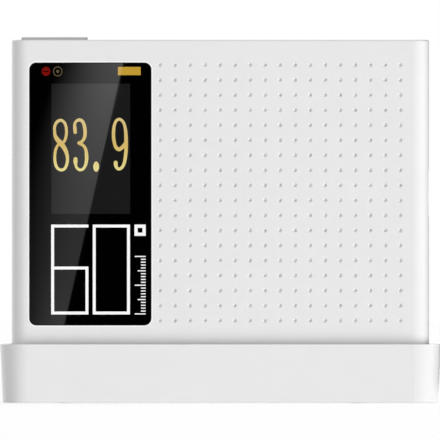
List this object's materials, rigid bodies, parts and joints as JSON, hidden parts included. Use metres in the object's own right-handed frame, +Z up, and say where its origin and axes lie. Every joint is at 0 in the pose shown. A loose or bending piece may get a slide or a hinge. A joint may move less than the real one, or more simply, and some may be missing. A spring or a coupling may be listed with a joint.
{
  "type": "gloss meter",
  "caption": "Compact 60 degree gloss meter with display window, dimpled grip face, push button, data port and battery door, standing in its calibration holder.",
  "frame": {"origin": "on the surface it stands on, under the middle of the calibration holder", "axes": "+X to the right as seen from the window side, +Y to the back, +Z up"},
  "size_m": [0.1204, 0.041, 0.1],
  "materials": {
    "case_white": "fine satin moulding",
    "holder_white": "fine satin moulding",
    "button_grey": "satin",
    "window_black": "polished",
    "screen_glass": "gloss",
    "foam_black": "matt foam",
    "plastic_black": "satin",
    "flex_amber": "gloss",
    "guide_clear": "polished",
    "led_white": "gloss",
    "board_green": "solder mask",
    "chip_black": "moulded",
    "steel": "plated",
    "plate_black": "black anodised",
    "optic_black": "matt black anodised",
    "lens_glass": "polished",
    "filter_green": "polished",
    "tile_black": "polished",
    "magnet_nickel": "nickel plated",
    "rubber_grey": "matt",
    "battery_wrap": "gloss wrap",
    "lead_grey": "satin"
  },
  "bodies": {
    "holder": {"holder_shell": "holder_white", "holder_base_cover": "holder_white", "holder_screws": "steel", "holder_feet": "rubber_grey", "holder_magnets": "magnet_nickel", "calibration_tile": "tile_black", "tile_pad": "foam_black"},
    "meter": {"front_shell": "case_white", "rear_shell": "case_white", "case_screws": "steel", "bottom_plate": "plate_black", "keeper_discs": "steel", "plate_screws": "steel", "optics_screws": "steel", "display_window": "window_black", "display_gasket": "foam_black", "display_panel": "screen_glass", "display_frame": "plastic_black", "display_flex": "flex_amber", "light_guides": "guide_clear", "status_leds": "led_white", "main_board": "board_green", "board_screws": "steel", "processor": "chip_black", "board_components": "chip_black", "buzzer": "chip_black", "tact_switch": "chip_black", "battery": "battery_wrap", "negative_contact": "steel", "positive_contact": "steel", "optics_block": "optic_black", "source_lens": "lens_glass", "source_tube": "optic_black", "source_slit": "steel", "source_collar": "optic_black", "source_lamp": "led_white", "source_board": "board_green", "source_lead": "lead_grey", "receiver_lens": "lens_glass", "receiver_tube": "optic_black", "receiver_slit": "steel", "photopic_filter": "filter_green", "receiver_collar": "optic_black", "photodiode": "steel", "receiver_board": "board_green", "receiver_lead": "lead_grey", "sensor_screws": "steel", "lead_connectors": "led_white", "data_socket": "steel", "port_plug": "rubber_grey"},
    "button": {"measure_button": "button_grey", "switch_plunger": "plastic_black"},
    "door": {"battery_door": "case_white"}
  },
  "joints": [
    {"name": "meter_lift", "type": "slide", "parent": "holder", "child": "meter", "axis": [0, 0, 1], "range_m": [0, 0.03]},
    {"name": "measure_press", "type": "slide", "parent": "meter", "child": "button", "axis": [0, 0, -1], "range_m": [0, 0.0006], "stiffness_N_per_m": 800, "springref_m": -0.0004},
    {"name": "door_hinge", "type": "hinge", "parent": "meter", "child": "door", "pos_m": [0.01875, 0.016, 0.0692], "axis": [-1, 0, 0], "range_deg": [0, 90]}
  ]
}
